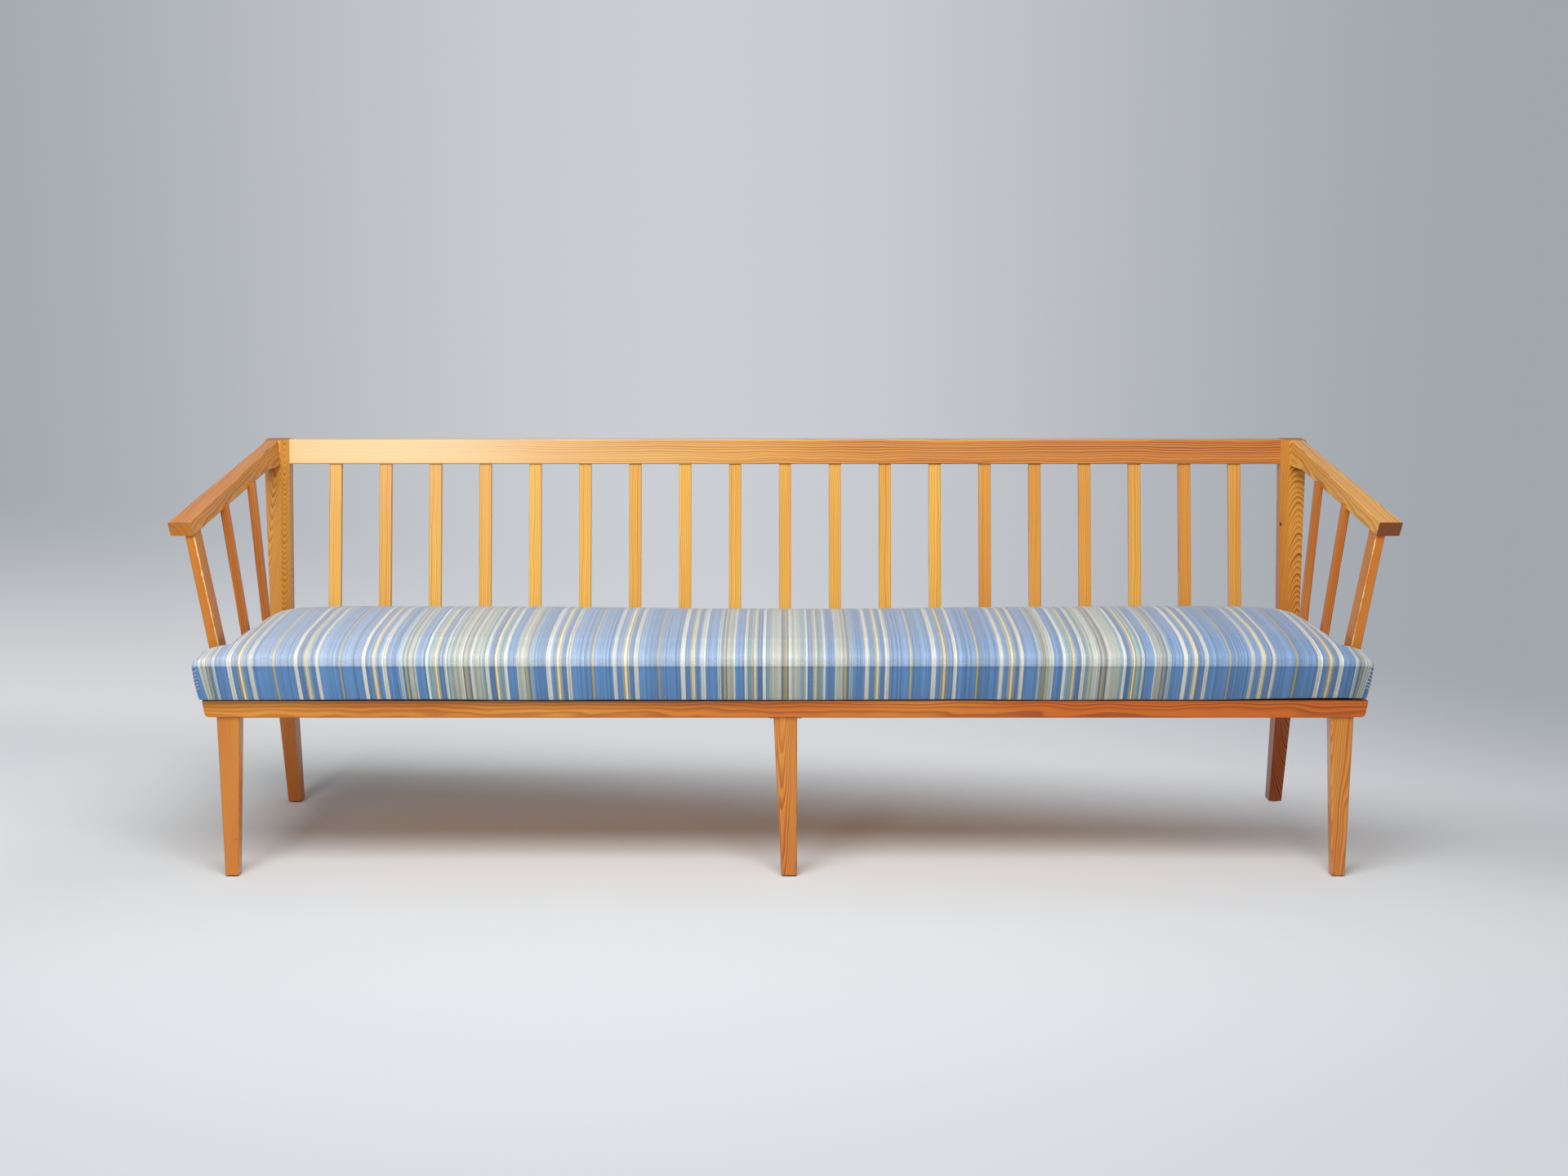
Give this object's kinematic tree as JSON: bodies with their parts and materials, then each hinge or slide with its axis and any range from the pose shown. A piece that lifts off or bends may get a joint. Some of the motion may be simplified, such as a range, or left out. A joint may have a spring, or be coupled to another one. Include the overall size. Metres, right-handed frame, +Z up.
{
  "type": "pull-out bench bed",
  "caption": "Slatted pine bench bed with splayed slatted arms and raked back; its front rail, legs and slats pull out on runners to widen the seat, under a loose striped cushion",
  "frame": {"origin": "on the floor, under the middle of the length and the depth of the closed bench", "axes": "+X to the right seen from the front, -Y to the front, +Z up"},
  "size_m": [2.2212, 0.648, 0.748],
  "materials": {
    "pine": "amber lacquer, satin",
    "striped_cover": "woven stripes",
    "felt": "dark felt",
    "glide_plastic": "pale nylon",
    "steel": "zinc plated"
  },
  "bodies": {
    "fixed_frame": {"arm_left": "pine", "arm_post_left": "pine", "arm_post_right": "pine", "arm_right": "pine", "back_felt_pad": "felt", "back_glide": "glide_plastic", "back_post_left": "pine", "back_post_right": "pine", "back_seat_rail": "pine", "back_slat_01": "pine", "back_slat_02": "pine", "back_slat_03": "pine", "back_slat_04": "pine", "back_slat_05": "pine", "back_slat_06": "pine", "back_slat_07": "pine", "back_slat_08": "pine", "back_slat_09": "pine", "back_slat_10": "pine", "back_slat_11": "pine", "back_slat_12": "pine", "back_slat_13": "pine", "back_slat_14": "pine", "back_slat_15": "pine", "back_slat_16": "pine", "back_slat_17": "pine", "back_slat_18": "pine", "back_slat_19": "pine", "back_top_rail": "pine", "fixed_seat_slats": "pine", "frame_screws": "steel", "front_arm_spindle_left": "pine", "front_arm_spindle_right": "pine", "front_cross_rail": "pine", "guide_strip_left": "pine", "guide_strip_right": "pine", "rear_arm_spindle_left": "pine", "rear_arm_spindle_right": "pine", "runner_keeper": "steel", "side_rail_left": "pine", "side_rail_right": "pine", "slat_ledger": "pine"},
    "pull_out": {"front_rail": "pine", "front_leg_left": "pine", "front_leg_middle": "pine", "front_leg_right": "pine", "side_runner_left": "pine", "side_runner_right": "pine", "middle_runner": "pine", "rear_batten": "pine", "sliding_seat_slats": "pine", "front_felt_pads": "felt", "front_glide": "glide_plastic"},
    "cushion": {"seat_cushion": "striped_cover"}
  },
  "joints": [
    {"name": "pull_out_slide", "type": "slide", "parent": "fixed_frame", "child": "pull_out", "axis": [0, -1, 0], "range_m": [0, 0.3777]},
    {"name": "cushion_lift", "type": "slide", "parent": "fixed_frame", "child": "cushion", "axis": [0, 0, 1], "range_m": [0, 0.3]}
  ]
}
